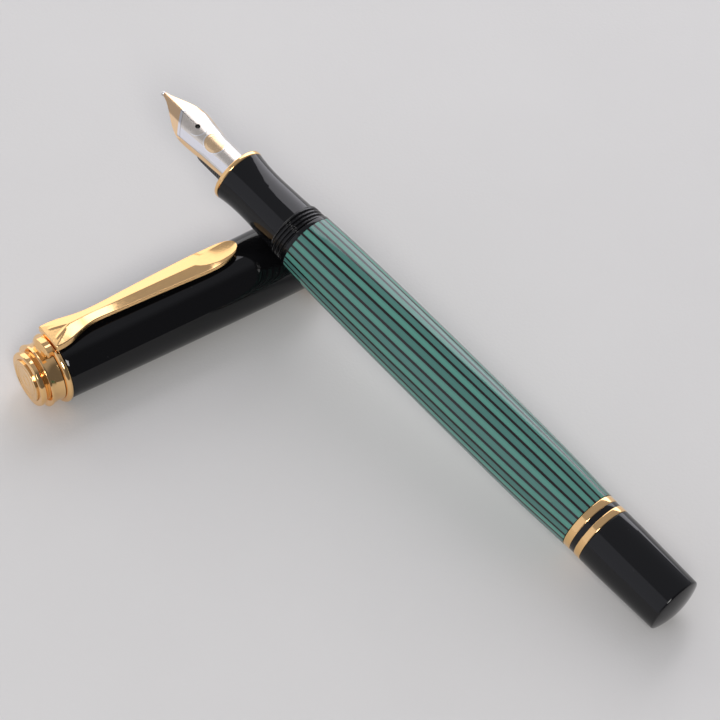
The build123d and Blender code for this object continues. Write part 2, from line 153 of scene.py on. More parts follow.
# ------------------------------------------------------------------ meshes
def finish_mesh(name, vertices, faces, place, uvs=None, sharp=SHARP):
    """A smooth-shaded object in the row frame from local millimetre vertices."""
    mesh = bpy.data.meshes.new(name)
    mesh.from_pydata([tuple(v) for v in vertices], [], faces)
    if uvs is not None:
        layer = mesh.uv_layers.new(name="UVMap")
        for loop, uv in zip(layer.data, uvs):
            loop.uv = uv
    mesh.transform(place)
    mesh.validate()
    mesh.polygons.foreach_set("use_smooth", [True] * len(mesh.polygons))
    mesh.set_sharp_from_angle(angle=sharp)
    piece = bpy.data.objects.new(name, mesh)
    bpy.context.scene.collection.objects.link(piece)
    return piece


def lathe(name, outline, place, closed=True, relief=None):
    """Turns an outline of (radius, z) about z. relief(angle, r, z) may change the radius."""
    vertices, faces, uvs = [], [], []
    rings = []
    for r, z in outline:
        if r < ON_AXIS:
            rings.append([len(vertices)] * SEGMENTS)
            vertices.append((0, 0, z))
            continue
        ring = []
        for s in range(SEGMENTS):
            angle = 2 * math.pi * s / SEGMENTS
            radius = relief(angle, r, z) if relief else r
            ring.append(len(vertices))
            vertices.append((radius * math.sin(angle), radius * math.cos(angle), z))
        rings.append(ring)
    pairs = list(zip(range(len(rings)), range(1, len(rings))))
    if closed and outline[0][0] > ON_AXIS:
        pairs.append((len(rings) - 1, 0))
    for i, j in pairs:
        for s in range(SEGMENTS):
            t = (s + 1) % SEGMENTS
            corners = [(rings[i][s], s, i), (rings[i][t], s + 1, i),
                       (rings[j][t], s + 1, j), (rings[j][s], s, j)]
            kept = []
            for corner in corners:
                if corner[0] not in [k[0] for k in kept]:
                    kept.append(corner)
            if len(kept) < 3:
                continue
            faces.append([k[0] for k in kept])
            uvs += [(k[1] / SEGMENTS, outline[k[2]][1] * UV_PER_MM) for k in kept]
    return finish_mesh(name, vertices, faces, place, uvs)


def skin(name, rings, place, sharp=SHARP):
    """A closed skin over rings of equal length, capped at both ends."""
    size = len(rings[0])
    vertices = [point for ring in rings for point in ring]
    faces = [list(range(size))[::-1]]
    for i in range(len(rings) - 1):
        for s in range(size):
            t = (s + 1) % size
            faces.append([i * size + s, i * size + t, (i + 1) * size + t, (i + 1) * size + s])
    faces.append([(len(rings) - 1) * size + s for s in range(size)])
    return finish_mesh(name, vertices, faces, place, sharp=sharp)


def circle(radius, count):
    """The corners of a regular polygon, as pairs."""
    turns = [math.tau * s / count for s in range(count)]
    return [(radius * math.cos(turn), radius * math.sin(turn)) for turn in turns]


def plain_ring(name, place, bore, radius, start, end, inner_round, outer_round):
    """A ring of rectangular section with rounded edges."""
    corners = [(bore, start), (radius, start), (radius, end), (bore, end)]
    rounds = [inner_round, outer_round, outer_round, inner_round]
    outline = rounded([(*corner, r) for corner, r in zip(corners, rounds)], inner_round)
    return lathe(name, outline, place)


# ------------------------------------------------------------------ material tools
# which inputs and output of a mix node hold colours
MIX_COLOURS, MIX_RESULT = (6, 7), 2


class Field:
    """A shader socket with arithmetic, so that a pattern reads as a formula."""

    def __init__(self, tree, socket):
        self.tree = tree
        self.socket = socket

    def math(self, operation, *others):
        node = self.tree.nodes.new("ShaderNodeMath")
        node.operation = operation
        self.tree.links.new(self.socket, node.inputs[0])
        for slot, other in zip((1, 2), others):
            if isinstance(other, Field):
                self.tree.links.new(other.socket, node.inputs[slot])
            else:
                node.inputs[slot].default_value = other
        return Field(self.tree, node.outputs[0])

    def __add__(self, other):
        return self.math("ADD", other)

    def __sub__(self, other):
        return self.math("SUBTRACT", other)

    def __mul__(self, other):
        return self.math("MULTIPLY", other)

    def step(self, low, high):
        """0 up to low and 1 from high, smooth between; a falling step has low above high."""
        node = self.tree.nodes.new("ShaderNodeMapRange")
        node.interpolation_type = "SMOOTHSTEP"
        self.tree.links.new(self.socket, node.inputs["Value"])
        node.inputs["From Min"].default_value = low
        node.inputs["From Max"].default_value = high
        return Field(self.tree, node.outputs["Result"])

    def scaled(self, low, high):
        """0..1 mapped to low..high."""
        return self.math("MULTIPLY_ADD", high - low, low)


class Finish:
    """A material under construction."""

    def __init__(self, name):
        self.material = bpy.data.materials.new(name)
        self.material.use_nodes = True
        self.tree = self.material.node_tree
        self.shader = self.tree.nodes["Principled BSDF"]

    def set(self, **values):
        for key, value in values.items():
            self.shader.inputs[key.replace("_", " ")].default_value = value

    def link(self, field, key):
        self.tree.links.new(field.socket, self.shader.inputs[key])

    def place(self):
        return self.tree.nodes.new("ShaderNodeTexCoord").outputs["Object"]

    def uv(self):
        """The two UV coordinates as fields."""
        source = self.tree.nodes.new("ShaderNodeTexCoord").outputs["UV"]
        split = self.tree.nodes.new("ShaderNodeSeparateXYZ")
        self.tree.links.new(source, split.inputs[0])
        return Field(self.tree, split.outputs[0]), Field(self.tree, split.outputs[1])

    def noise(self, scale, detail=2.0):
        node = self.tree.nodes.new("ShaderNodeTexNoise")
        node.inputs["Scale"].default_value = scale
        node.inputs["Detail"].default_value = detail
        self.tree.links.new(self.place(), node.inputs["Vector"])
        return Field(self.tree, node.outputs["Fac"])

    def cells(self, scale):
        node = self.tree.nodes.new("ShaderNodeTexVoronoi")
        node.inputs["Scale"].default_value = scale
        self.tree.links.new(self.place(), node.inputs["Vector"])
        return Field(self.tree, node.outputs["Distance"])

    def random(self, field):
        node = self.tree.nodes.new("ShaderNodeTexWhiteNoise")
        node.noise_dimensions = "1D"
        self.tree.links.new(field.socket, node.inputs["W"])
        return Field(self.tree, node.outputs["Value"])

    def mix(self, share, first, second):
        """A colour between two, each a tuple or another mix."""
        node = self.tree.nodes.new("ShaderNodeMix")
        node.data_type = "RGBA"
        self.tree.links.new(share.socket, node.inputs[0])
        for slot, colour in zip(MIX_COLOURS, (first, second)):
            if isinstance(colour, Field):
                self.tree.links.new(colour.socket, node.inputs[slot])
            else:
                node.inputs[slot].default_value = (*colour, 1)
        return Field(self.tree, node.outputs[MIX_RESULT])

    def bump(self, height, distance):
        node = self.tree.nodes.new("ShaderNodeBump")
        node.inputs["Strength"].default_value = 1.0
        node.inputs["Distance"].default_value = distance
        self.tree.links.new(height.socket, node.inputs["Height"])
        self.tree.links.new(node.outputs["Normal"], self.shader.inputs["Normal"])


# ------------------------------------------------------------------ materials
def black_resin():
    """Polished black resin with faint polishing waves and a little dust."""
    finish = Finish("black_resin")
    dust = finish.cells(scale=420).step(0.05, 0.02)
    finish.link(finish.mix(dust, (0.0035, 0.0035, 0.004), (0.03, 0.03, 0.03)), "Base Color")
    finish.link(finish.noise(scale=700).scaled(low=0.02, high=0.075), "Roughness")
    finish.bump(finish.noise(scale=160), distance=0.000004)
    finish.set(IOR=1.41)
    return finish.material


def satin_black(name, tone):
    """Moulded black plastic or rubber."""
    finish = Finish(name)
    grain = finish.noise(scale=2500, detail=4)
    finish.link(finish.mix(grain, (tone * 0.7,) * 3, (tone * 1.4,) * 3), "Base Color")
    finish.link(finish.noise(scale=900).scaled(low=0.25, high=0.45), "Roughness")
    finish.bump(grain, distance=0.00001)
    return finish.material


def gold(name, light, deep, rough):
    """Polished gold plate with fine wear."""
    finish = Finish(name)
    finish.link(finish.mix(finish.noise(scale=90), light, deep), "Base Color")
    wear = finish.noise(scale=1500, detail=5)
    finish.link(wear.scaled(low=rough * 0.6, high=rough * 1.6), "Roughness")
    finish.bump(wear, distance=0.0000015)
    finish.set(Metallic=1.0)
    return finish.material


STRIPES, STRIPE_PHASE, STRIPE_TWIST = 26, 0.818, 1.38
STRIPE_DEEP, STRIPE_BRIGHT = (0.072, 0.190, 0.165), (0.112, 0.335, 0.262)
# the cloud's green, a darker green painted towards each stripe's edges as a sheen, and the lines' colour
STRIPE_CLOUD, STRIPE_SHEEN_EDGE, STRIPE_LINE = (0.060, 0.200, 0.165), (0.040, 0.130, 0.110), (0.011, 0.007, 0.007)
STRIPE_MIDDLE = 0.63


def striped_celluloid():
    """Green celluloid with fine dark lines along the barrel, each stripe of its own tone."""
    finish = Finish("striped_celluloid")
    around, along = finish.uv()
    drift = finish.noise(scale=40).scaled(low=-0.06, high=0.06)
    turn = around * STRIPES - along * STRIPE_TWIST + STRIPE_PHASE + drift
    within = turn.math("FRACT")
    stripe = turn.math("FLOOR")
    tone = finish.random(stripe) * 0.35 + (stripe * 0.5).math("FRACT") * 1.3
    cloud = finish.noise(scale=260, detail=3)
    green = finish.mix(tone, STRIPE_DEEP, STRIPE_BRIGHT)
    green = finish.mix(cloud * 0.35, green, STRIPE_CLOUD)
    # each stripe is darkened towards its edges: a painted sheen
    from_middle = (within - STRIPE_MIDDLE).math("ABSOLUTE")
    green = finish.mix(from_middle.step(0.05, 0.37) * 0.35, green, STRIPE_SHEEN_EDGE)
    line = within.step(0.27, 0.32)
    finish.link(finish.mix(line, STRIPE_LINE, green), "Base Color")
    finish.link(finish.noise(scale=600).scaled(low=0.03, high=0.09), "Roughness")
    finish.bump(finish.noise(scale=150), distance=0.000004)
    finish.set(IOR=1.5)
    return finish.material


# the nib's breather hole and engraving, shared by its mesh and its material: millimetres across the
# face and along it, with the tapers counted from FACE_MIDDLE
HOLE_AT, HOLE_R = 9.25, 0.46
HALO_R = 1.7
FACE_MIDDLE = 8.8
TONES_MEET, TONES_SLOPE = 4.95, 0.74
FIELD_HALF, FIELD_TAPER, FIELD_START = 2.05, 0.075, 0.55
BORDER_HALF, BORDER_TAPER = 3.56, 0.055
SEAL_AT, SEAL_R = 13.55, 1.95
# millimetres of the nib's face across and along its texture square
NIB_UV_ACROSS, NIB_UV_ALONG = 10, 40
NIB_GOLD_LIGHT, NIB_GOLD_DEEP = (0.98, 0.70, 0.43), (0.95, 0.64, 0.36)
# the rhodium; a brighter colour that paints highlights on the raised rims; a dark colour that paints shade in the
# cut lines
RHODIUM, RIM_HIGHLIGHT, CUT_SHADE = (0.86, 0.84, 0.84), (0.95, 0.93, 0.91), (0.20, 0.15, 0.11)
FIELD_DEEP, FIELD_LIGHT = (0.74, 0.66, 0.55), (0.92, 0.84, 0.74)
SEAL_DEEP, SEAL_LIGHT = (0.88, 0.60, 0.33), (0.96, 0.72, 0.46)


def two_tone_nib():
    """Gold point and border, bright rhodium face, matt engraved field, gold seal."""
    finish = Finish("two_tone_nib")
    across, along = finish.uv()
    u = ((across - 0.5) * NIB_UV_ACROSS).math("ABSOLUTE")
    z = along * NIB_UV_ALONG
    chevron = z - u * TONES_SLOPE - TONES_MEET
    from_middle = z - FACE_MIDDLE
    border = u + from_middle * BORDER_TAPER - BORDER_HALF
    rhodium = chevron.step(-0.03, 0.03) * border.step(0.03, -0.03)
    field = (u + from_middle * FIELD_TAPER - FIELD_HALF).step(0.03, -0.03)
    field = field * (chevron - FIELD_START).step(-0.03, 0.03)
    seal_z = z - SEAL_AT
    seal = (u * u + seal_z * seal_z).math("SQRT")
    inside_seal = seal.step(SEAL_R, SEAL_R - 0.05)
    seal_rim = (seal - SEAL_R).math("ABSOLUTE").step(0.14, 0.06)
    hole_z = z - HOLE_AT
    halo = ((u * u + hole_z * hole_z).math("SQRT") - HALO_R).math("ABSOLUTE").step(0.12, 0.05)
    halo = halo * hole_z.step(-0.1, 0.3)
    ruled = (z * 21).math("SINE").scaled(low=0.35, high=0.65)
    mottle = finish.noise(scale=1500, detail=5)
    gold_tone = finish.mix(finish.noise(scale=90), NIB_GOLD_LIGHT, NIB_GOLD_DEEP)
    face = finish.mix(rhodium, gold_tone, RHODIUM)
    face = finish.mix(field * rhodium * 0.85, face, finish.mix(mottle, FIELD_DEEP, FIELD_LIGHT))
    face = finish.mix(inside_seal * rhodium, face, finish.mix(mottle, SEAL_DEEP, SEAL_LIGHT))
    # the raised rims round the seal and the breather hole get a brighter colour: a painted highlight
    rims = seal_rim.math("MAXIMUM", halo) * rhodium
    face = finish.mix(rims, face, RIM_HIGHLIGHT)
    # the cut lines along the border and along the two-tone edge are darkened: painted shade in the grooves
    groove = (border + 0.06).math("ABSOLUTE").step(0.07, 0.03)
    groove = groove.math("MAXIMUM", (chevron - 0.62).math("ABSOLUTE").step(0.07, 0.03))
    face = finish.mix(groove * rhodium * 0.65, face, CUT_SHADE)
    finish.link(face, "Base Color")
    matt = field.math("MAXIMUM", inside_seal) * rhodium * 0.16
    finish.link(matt + finish.noise(scale=1200).scaled(low=0.07, high=0.14), "Roughness")
    finish.bump((mottle + ruled * 0.25) * matt, distance=0.00003)
    finish.set(Metallic=1.0)
    return finish.material


def plain(name, colour, rough, metallic=0.0):
    """Machined or moulded pieces, with a fine grain."""
    finish = Finish(name)
    shade = finish.noise(scale=1500, detail=3)
    darker = tuple(c * 0.8 for c in colour)
    finish.link(finish.mix(shade, darker, colour), "Base Color")
    finish.link(shade.scaled(low=rough * 0.7, high=rough * 1.3), "Roughness")
    finish.bump(shade, distance=0.000006)
    finish.set(Metallic=metallic)
    return finish.material


def pale_floor():
    """Plain pale studio surface."""
    finish = Finish("pale_floor")
    cloud = finish.noise(scale=30, detail=4)
    finish.link(finish.mix(cloud, (0.70, 0.69, 0.67), (0.74, 0.73, 0.71)), "Base Color")
    finish.bump(finish.noise(scale=1800, detail=3), distance=0.00002)
    finish.set(Roughness=0.6)
    return finish.material


# ------------------------------------------------------------------ pen pieces
def make_section_ring():
    return plain_ring("gold_section_ring", PEN, bore=3.95, radius=5.12, start=19.1, end=20.0,
                      inner_round=0.05, outer_round=0.3)


# the three-start thread that the cap screws on to; its flanks rise and fall within these shares of a pitch
THREAD_START, THREAD_END, THREAD_PITCH, THREAD_STARTS = 33.2, 36.12, 0.705, 3
THREAD_R, THREAD_RISE, THREAD_ROW = 4.97, 0.29, 0.045
THREAD_UP, THREAD_DOWN = (0.08, 0.36), (0.96, 0.66)
THREAD_RUN_IN, THREAD_RUN_OUT = 0.25, 0.1
GRIP_BORE, GRIP_FRONT, GRIP_END = 3.6, 19.3, 41.4
GRIP_SEAT_R, GRIP_TENON_R = 3.9, 4.6
GRIP_OUTSIDE = 4.5
GRIP_TAPER = [(4.66, 26.5), (4.93, 33.12, 0.06), (THREAD_R, THREAD_START)]
GRIP_FLARE = [(5.04, 20.0), (4.87, 21.2), (4.73, 22.7), (4.66, 24.5), (4.665, 26.5)]
COLLAR_R, COLLAR_START, COLLAR_END, COLLAR_ROUND = 5.45, 36.15, 36.88, 0.08


def thread_phase(angle, from_start):
    """How far through its pitch the thread is, 0 to 1."""
    return (from_start / THREAD_PITCH - THREAD_STARTS * angle / (2 * math.pi)) % 1


def thread_relief(angle, radius, z):
    """The thread between the section and its rear collar."""
    if radius < GRIP_OUTSIDE or z < THREAD_START or z > THREAD_END:
        return radius
    phase = thread_phase(angle, z - THREAD_START)
    ridge = ease(*THREAD_UP, phase) * ease(*THREAD_DOWN, phase)
    run_in = ease(THREAD_START, THREAD_START + THREAD_RUN_IN, z)
    run_out = ease(THREAD_END, THREAD_END - THREAD_RUN_OUT, z)
    return radius + THREAD_RISE * ridge * (run_in * run_out)


def make_grip():
    """The black section: a flare behind the gold ring, a long taper, the thread and a collar."""
    outline = [(GRIP_BORE, 36.4), (GRIP_BORE, GRIP_FRONT), (GRIP_SEAT_R, GRIP_FRONT), (GRIP_SEAT_R, 20.02)]
    outline += smooth_through(GRIP_FLARE, 8)
    outline += rounded(GRIP_TAPER, 0, closed=False)[1:-1]
    rows = int((THREAD_END - THREAD_START) / THREAD_ROW)
    outline += [(THREAD_R, THREAD_START + (THREAD_END - THREAD_START) * i / rows) for i in range(rows + 1)]
    collar = [(THREAD_R, THREAD_END), (COLLAR_R, COLLAR_START, COLLAR_ROUND),
              (COLLAR_R, COLLAR_END, COLLAR_ROUND), (4.7, COLLAR_END)]
    outline += rounded(collar, 0, closed=False)[1:]
    outline += [(GRIP_TENON_R, 36.9), (GRIP_TENON_R, GRIP_END), (GRIP_BORE, GRIP_END)]
    return lathe("grip", outline, PEN, relief=thread_relief)


SLEEVE_BORE = 5.1
SLEEVE_PROFILE = [(5.47, 36.92), (5.63, 40.5), (5.78, 46.0), (5.94, 58.0), (6.01, 72.0), (6.01, 80.0),
                  (5.96, 88.0), (5.84, 95.5), (5.50, 103.95)]


def make_sleeve():
    """The striped barrel, a slightly swelling tube."""
    start, end = SLEEVE_PROFILE[0][1], SLEEVE_PROFILE[-1][1]
    outline = [(SLEEVE_BORE, start)] + smooth_through(SLEEVE_PROFILE, 14) + [(SLEEVE_BORE, end)]
    return lathe("striped_barrel", outline, PEN)


def make_rear_band(name, start, end):
    return plain_ring(name, PEN, bore=4.65, radius=5.45, start=start, end=end,
                      inner_round=0.03, outer_round=0.16)


def make_spacer():
    return plain_ring("band_spacer", PEN, bore=4.65, radius=5.36, start=105.4, end=106.4,
                      inner_round=0.04, outer_round=0.04)


KNOB_BORE, KNOB_FLOOR, KNOB_FRONT, KNOB_END = 3.3, 121.0, 107.76, 124.99
KNOB_R, KNOB_RIM_R, KNOB_DOME_R, KNOB_DOME_STEPS = 5.45, 4.6, 13.86, 20


def make_knob():
    """The turning knob: a short straight stretch, a long taper and a shallow domed end."""
    side = [(KNOB_BORE, KNOB_FRONT), (KNOB_R, KNOB_FRONT, 0.12), (KNOB_R, 111.75, 0.6), (5.17, 123.98, 0.42),
            (KNOB_RIM_R, 124.2)]
    outline = [(0, KNOB_FLOOR), (KNOB_BORE, KNOB_FLOOR), (KNOB_BORE, KNOB_FRONT)]
    outline += rounded(side, 0, steps=8, closed=False)[1:]
    for i in range(1, KNOB_DOME_STEPS + 1):
        r = KNOB_RIM_R * (1 - i / KNOB_DOME_STEPS)
        outline.append((r, KNOB_END - KNOB_DOME_R + math.sqrt(KNOB_DOME_R ** 2 - r ** 2)))
    return lathe("filler_knob", outline, PEN)


# half the nib's width along its bent face, the radius that the face is bent to, and its crown's height
NIB_WIDTH = smooth_table([(0.72, 0.33), (2.0, 0.76), (3.5, 1.56), (5.0, 2.52), (6.2, 3.29), (7.4, 3.86),
                          (8.6, 4.17), (10.0, 4.28), (12.0, 4.24), (15.0, 4.03), (20.0, 3.64), (31.0, 3.64)])
NIB_BEND = smooth_table([(0.0, 3.9), (4.0, 4.15), (7.4, 4.28), (8.6, 4.03), (10.0, 3.66), (12.0, 3.30),
                         (15.0, 2.95), (31.0, 2.95)])
NIB_CROWN = smooth_table([(0.0, 2.75), (4.5, 2.82), (9.0, 2.88), (15.0, 2.95), (31.0, 2.95)])
NIB_SHEET = 0.25
NIB_START, NIB_VISIBLE, NIB_END = 0.72, 20, 31.0
NIB_COLUMNS = 60
SLIT_HALF = 0.035
# the grid's steps along the nib: near the hole, on the visible face and inside the section
STEP_HOLE, STEP_FACE, STEP_HIDDEN = 0.03, 0.075, 0.5
HOLE_ZONE = 0.6


def nib_relief(u, z):
    """How far the face stands out (mm) at u across and z along: raised rims and cut outlines."""
    u = abs(u)
    from_hole = math.hypot(u, z - HOLE_AT)
    from_seal = math.hypot(u, z - SEAL_AT)
    field = FIELD_HALF - FIELD_TAPER * (z - FACE_MIDDLE)
    border = BORDER_HALF - BORDER_TAPER * (z - FACE_MIDDLE)
    chevron = z - TONES_SLOPE * u - TONES_MEET

    def ridge(distance, half):
        """A soft ridge, 1 high in its middle and half wide to each side."""
        return max(0.0, 1 - (distance / half) ** 2) ** 2

    behind = ease(-0.2, 0.4, z - HOLE_AT)
    height = 0.02 * ridge(from_hole - HALO_R, 0.11) * behind
    height += 0.022 * ridge(from_seal - SEAL_R, 0.13) + 0.012 * ridge(from_seal - 1.35, 0.09)
    height -= 0.014 * ridge(u - field, 0.07) * ease(0.5, 0.7, chevron)
    height -= 0.022 * ridge(u - border, 0.07) * ease(0.1, 0.3, chevron)
    height -= 0.016 * ridge(chevron - FIELD_START, 0.07) * ease(border, border - 0.1, u)
    return height


def nib_surface(u, z, depth):
    """A point of the nib: u across its bent face, depth 0 on top and 1 underneath."""
    bend, crown = between(z, NIB_BEND), between(z, NIB_CROWN)
    angle = u / bend
    r = bend - NIB_SHEET * depth
    if depth == 0 and z < NIB_VISIBLE:
        r += nib_relief(u, z)
    return (r * math.sin(angle), crown - bend + r * math.cos(angle), z)


def nib_rows():
    """Stations along the nib, closest together round the hole."""
    rows, z = [], NIB_START
    while z < NIB_END:
        rows.append(z)
        if HOLE_AT - HOLE_ZONE < z < HOLE_AT + HOLE_ZONE:
            z += STEP_HOLE
        else:
            z += STEP_FACE if z < NIB_VISIBLE else STEP_HIDDEN
    return rows + [NIB_END]


def make_nib():
    """Two tines and a body: a grid over the face, cut by the slit and the breather hole."""
    rows = nib_rows()
    columns = NIB_COLUMNS
    vertices, across_at, keys, faces = [], [], {}, []
    rear = HOLE_AT + HOLE_R

    def across(side, column, z):
        low = SLIT_HALF if z < rear else 0
        if abs(z - HOLE_AT) < HOLE_R:
            low = max(low, math.sqrt(HOLE_R ** 2 - (z - HOLE_AT) ** 2))
        return side * (low + (between(z, NIB_WIDTH) - low) * column / columns)

    def key(side, row, column, depth):
        z = rows[row]
        name = (0 if column == 0 and z >= rear else side, row, column, depth)
        if name not in keys:
            keys[name] = len(vertices)
            u = across(side, column, z)
            vertices.append(nib_surface(u, z, depth))
            across_at.append(u)
        return keys[name]

    def add(corners, flip):
        faces.append(corners[::-1] if flip else corners)

    last = len(rows) - 1
    for side in (-1, 1):
        flip = side < 0
        for row in range(last):
            for column in range(columns):
                for depth in (0, 1):
                    corners = [key(side, row, column, depth), key(side, row, column + 1, depth),
                               key(side, row + 1, column + 1, depth), key(side, row + 1, column, depth)]
                    add(corners, flip ^ (depth == 0))
            for column, other in ((columns, False), (0, True)):
                if column == 0 and rows[row] >= rear:
                    continue
                wall = [key(side, row, column, 0), key(side, row, column, 1),
                        key(side, row + 1, column, 1), key(side, row + 1, column, 0)]
                add(wall, flip ^ other ^ True)
        for row in (0, last):
            for column in range(columns):
                end = [key(side, row, column, 0), key(side, row, column, 1),
                       key(side, row, column + 1, 1), key(side, row, column + 1, 0)]
                add(end, flip ^ (row == 0))
    places = [(u / NIB_UV_ACROSS + 0.5, vertex[2] / NIB_UV_ALONG) for u, vertex in zip(across_at, vertices)]
    uvs = [places[i] for face in faces for i in face]
    return finish_mesh("two_tone_nib_sheet", vertices, faces, PEN, uvs)


TIP_R, TIP_HEIGHT, TIP_RINGS, TIP_SIDES = 0.42, 2.34, 33, 40


def make_tipping():
    """The round bead of hard metal at the nib's point; it ends just inside the nib's sheet."""
    rings = []
    for i in range(TIP_RINGS):
        angle = math.pi * (i + 0.5) / TIP_RINGS
        z = TIP_R - TIP_R * math.cos(angle)
        if z > NIB_START + 0.04:
            break
        rings.append([(x, TIP_HEIGHT + y, z) for x, y in circle(TIP_R * math.sin(angle), TIP_SIDES)])
    return skin("tipping_bead", rings, PEN)


FEED_NOSE, FEED_BACK, FEED_R, FEED_SIDES = 4.6, 31.0, 2.65, 72
FEED_HALF = [(4.6, 0.5), (8.0, 1.6), (13.0, 2.65), (31.0, 2.65)]
FEED_BOTTOM = [(4.6, 1.7), (9.0, -0.5), (13.0, -2.1), (17.5, -2.65), (31.0, -2.65)]
FEED_TOP = [(4.6, 2.2), (15.0, 2.62), (31.0, 2.62)]
FEED_MIDDLE = [(4.6, 1.95), (13.0, 0.0), (31.0, 0.0)]
# the keel's depth below the feed, and where it starts and is full
KEEL_DEPTH, KEEL_START, KEEL_FULL = 0.33, 6.5, 8.5
NOSE_STEP, NOSE_STEPS = 0.3, 12
FIN_START, FIN_END, FIN_PITCH, FIN_SUNK = 8.2, 19.0, 0.5, 0.80
COMB_END = 19.3
# where the gap in front of each fin starts and ends, and whether the outline is sunk there
FIN_GAP = ((0, False), (0.01, True), (0.17, True), (0.18, False))


def feed_section(z, sunk):
    """The feed's outline at a distance from the point, seen along the pen; sunk in a gap."""
    half, bottom = between(z, FEED_HALF), between(z, FEED_BOTTOM)
    top, middle = between(z, FEED_TOP), between(z, FEED_MIDDLE)
    keel = FEED_R + KEEL_DEPTH * ease(KEEL_START, KEEL_FULL, z)
    points = []
    for s in range(FEED_SIDES):
        angle = math.tau * s / FEED_SIDES
        dx, dy = math.sin(angle), math.cos(angle)
        reach = [half / max(abs(dx), ON_AXIS)]
        reach.append((top - middle) / dy if dy > ON_AXIS else (bottom - middle) / min(dy, -ON_AXIS))
        limit = keel if dy < 0.1 else FEED_R
        b = middle * dy
        reach.append(-b + math.sqrt(max(0.01, b * b - middle ** 2 + limit ** 2)))
        r = min(reach)
        if sunk and dy < 0.15:
            r *= FIN_SUNK
        points.append((r * dx, middle + r * dy, z))
    return points


def make_feed():
    """The black feed under the nib: a slender nose and a comb of fine fins below."""
    stations = [(FEED_NOSE + NOSE_STEP * i, False) for i in range(NOSE_STEPS)]
    z = FIN_START
    while z < FIN_END:
        stations += [(z + further, sunk) for further, sunk in FIN_GAP]
        z += FIN_PITCH
    stations += [(COMB_END, False), (FEED_BACK, False)]
    return skin("finned_feed", [feed_section(*station) for station in stations], PEN)


# ------------------------------------------------------------------ cap pieces
CAP_TOP_R, CAP_MOUTH_R = 5.90, 6.52
# the cap swells between these two places, by a curve of these two shares
CAP_SWELL_START, CAP_SWELL_END = 5.85, 46.0
CAP_SWELL, CAP_SWELL_EASE = 1.55, 0.55
CAP_START, CAP_EDGE, CAP_END = 5.87, 5.95, 56.0
CAP_ROWS, CAP_ROWS_LENGTH, CAP_CHAMFER = 40, 40.2, 0.06
CAP_BORE, CAP_THREAD_BORE, SCREW_BORE = 5.12, 5.35, 2.1
CAP_LIP_R, CAP_LIP_ROUND, CAP_STEP, CAP_FLOOR = 5.85, 0.22, 29.5, 7.4
CAP_THREAD_ZERO, CAP_THREAD_START, CAP_THREAD_END, CAP_THREAD_DEPTH = 44.3, 44.4, 47.3, 0.2
CAP_THREAD_ROW, CAP_THREAD_ROWS, CAP_THREAD_MOUTH = 0.05, 62, 47.4
# radii up to this are the bore's
CAP_INSIDE = 5.4
CAP_THREAD_UP, CAP_THREAD_DOWN = (0.1, 0.35), (0.95, 0.65)


def cap_radius(z):
    """The cap's outer radius along its length."""
    t = min(1, (z - CAP_SWELL_START) / (CAP_SWELL_END - CAP_SWELL_START))
    return CAP_TOP_R + (CAP_MOUTH_R - CAP_TOP_R) * (CAP_SWELL * t - CAP_SWELL_EASE * t * t)


def cap_thread(angle, radius, z):
    """The thread inside the cap's mouth."""
    if radius > CAP_INSIDE or not CAP_THREAD_START < z < CAP_THREAD_END:
        return radius
    phase = thread_phase(angle, z - CAP_THREAD_ZERO)
    return radius - CAP_THREAD_DEPTH * ease(*CAP_THREAD_UP, phase) * ease(*CAP_THREAD_DOWN, phase)


def make_cap_tube():
    """The black cap, from the bead ring to the open mouth, with its stepped bore."""
    stations = [CAP_START + CAP_ROWS_LENGTH * i / CAP_ROWS for i in range(CAP_ROWS + 1)]
    outline = [(cap_radius(z), z) for z in stations]
    outline[0] = (outline[0][0] - CAP_CHAMFER, CAP_START)
    outline.insert(1, (cap_radius(CAP_EDGE), CAP_EDGE))
    lip = [(CAP_MOUTH_R, 46.1), (CAP_MOUTH_R, CAP_END, CAP_LIP_ROUND), (CAP_LIP_R, CAP_END, CAP_LIP_ROUND),
           (CAP_LIP_R, 47.5, 0.05), (CAP_THREAD_BORE, CAP_THREAD_MOUTH)]
    outline += rounded(lip, 0, closed=False)
    outline += [(CAP_THREAD_BORE, 47.38 - CAP_THREAD_ROW * i) for i in range(CAP_THREAD_ROWS)]
    outline += [(CAP_THREAD_BORE, CAP_STEP), (CAP_BORE, CAP_STEP), (CAP_BORE, CAP_FLOOR)]
    outline += [(SCREW_BORE, CAP_FLOOR), (SCREW_BORE, CAP_START)]
    return lathe("black_cap_tube", outline, CAP, relief=cap_thread)


def make_lip_band(name, start, end):
    return plain_ring(name, CAP, bore=6.3, radius=6.53, start=start, end=end,
                      inner_round=0.02, outer_round=0.06)


BEAD_START, BEAD_END, BEAD_NECK_R, BEAD_STEPS = 4.66, 5.84, 5.55, 20
# the middle of the bead's rounding, and how far it goes out and along
BEAD_R, BEAD_AT, BEAD_OUT, BEAD_ALONG = 5.62, 5.25, 0.58, 0.585


def make_bead():
    """The round gold ring between the clip's hoop and the black tube."""
    turns = [math.radians(-90 + 180 * i / BEAD_STEPS) for i in range(BEAD_STEPS + 1)]
    bulge = [(BEAD_R + BEAD_OUT * math.cos(a), BEAD_AT + BEAD_ALONG * math.sin(a)) for a in turns]
    outline = [(SCREW_BORE, BEAD_START), (BEAD_NECK_R, BEAD_START)] + bulge
    outline += [(BEAD_NECK_R, BEAD_END), (SCREW_BORE, BEAD_END)]
    return lathe("bead_ring_gold", outline, CAP)


# the hoop's two ends, its radius, its hollow waist and the flank that widens again behind the waist
HOOP_START, HOOP_END, HOOP_R, HOOP_FOOT_R = 1.96, 4.6, 5.57, 5.32
WAIST_START, WAIST_LENGTH, WAIST_DEPTH, WAIST_STEPS = 2.3, 1.35, 0.29, 12
FLANK_R, FLANK_START, FLANK_LENGTH, FLANK_RISE, FLANK_STEPS = 5.28, 3.65, 0.9, 0.10, 8


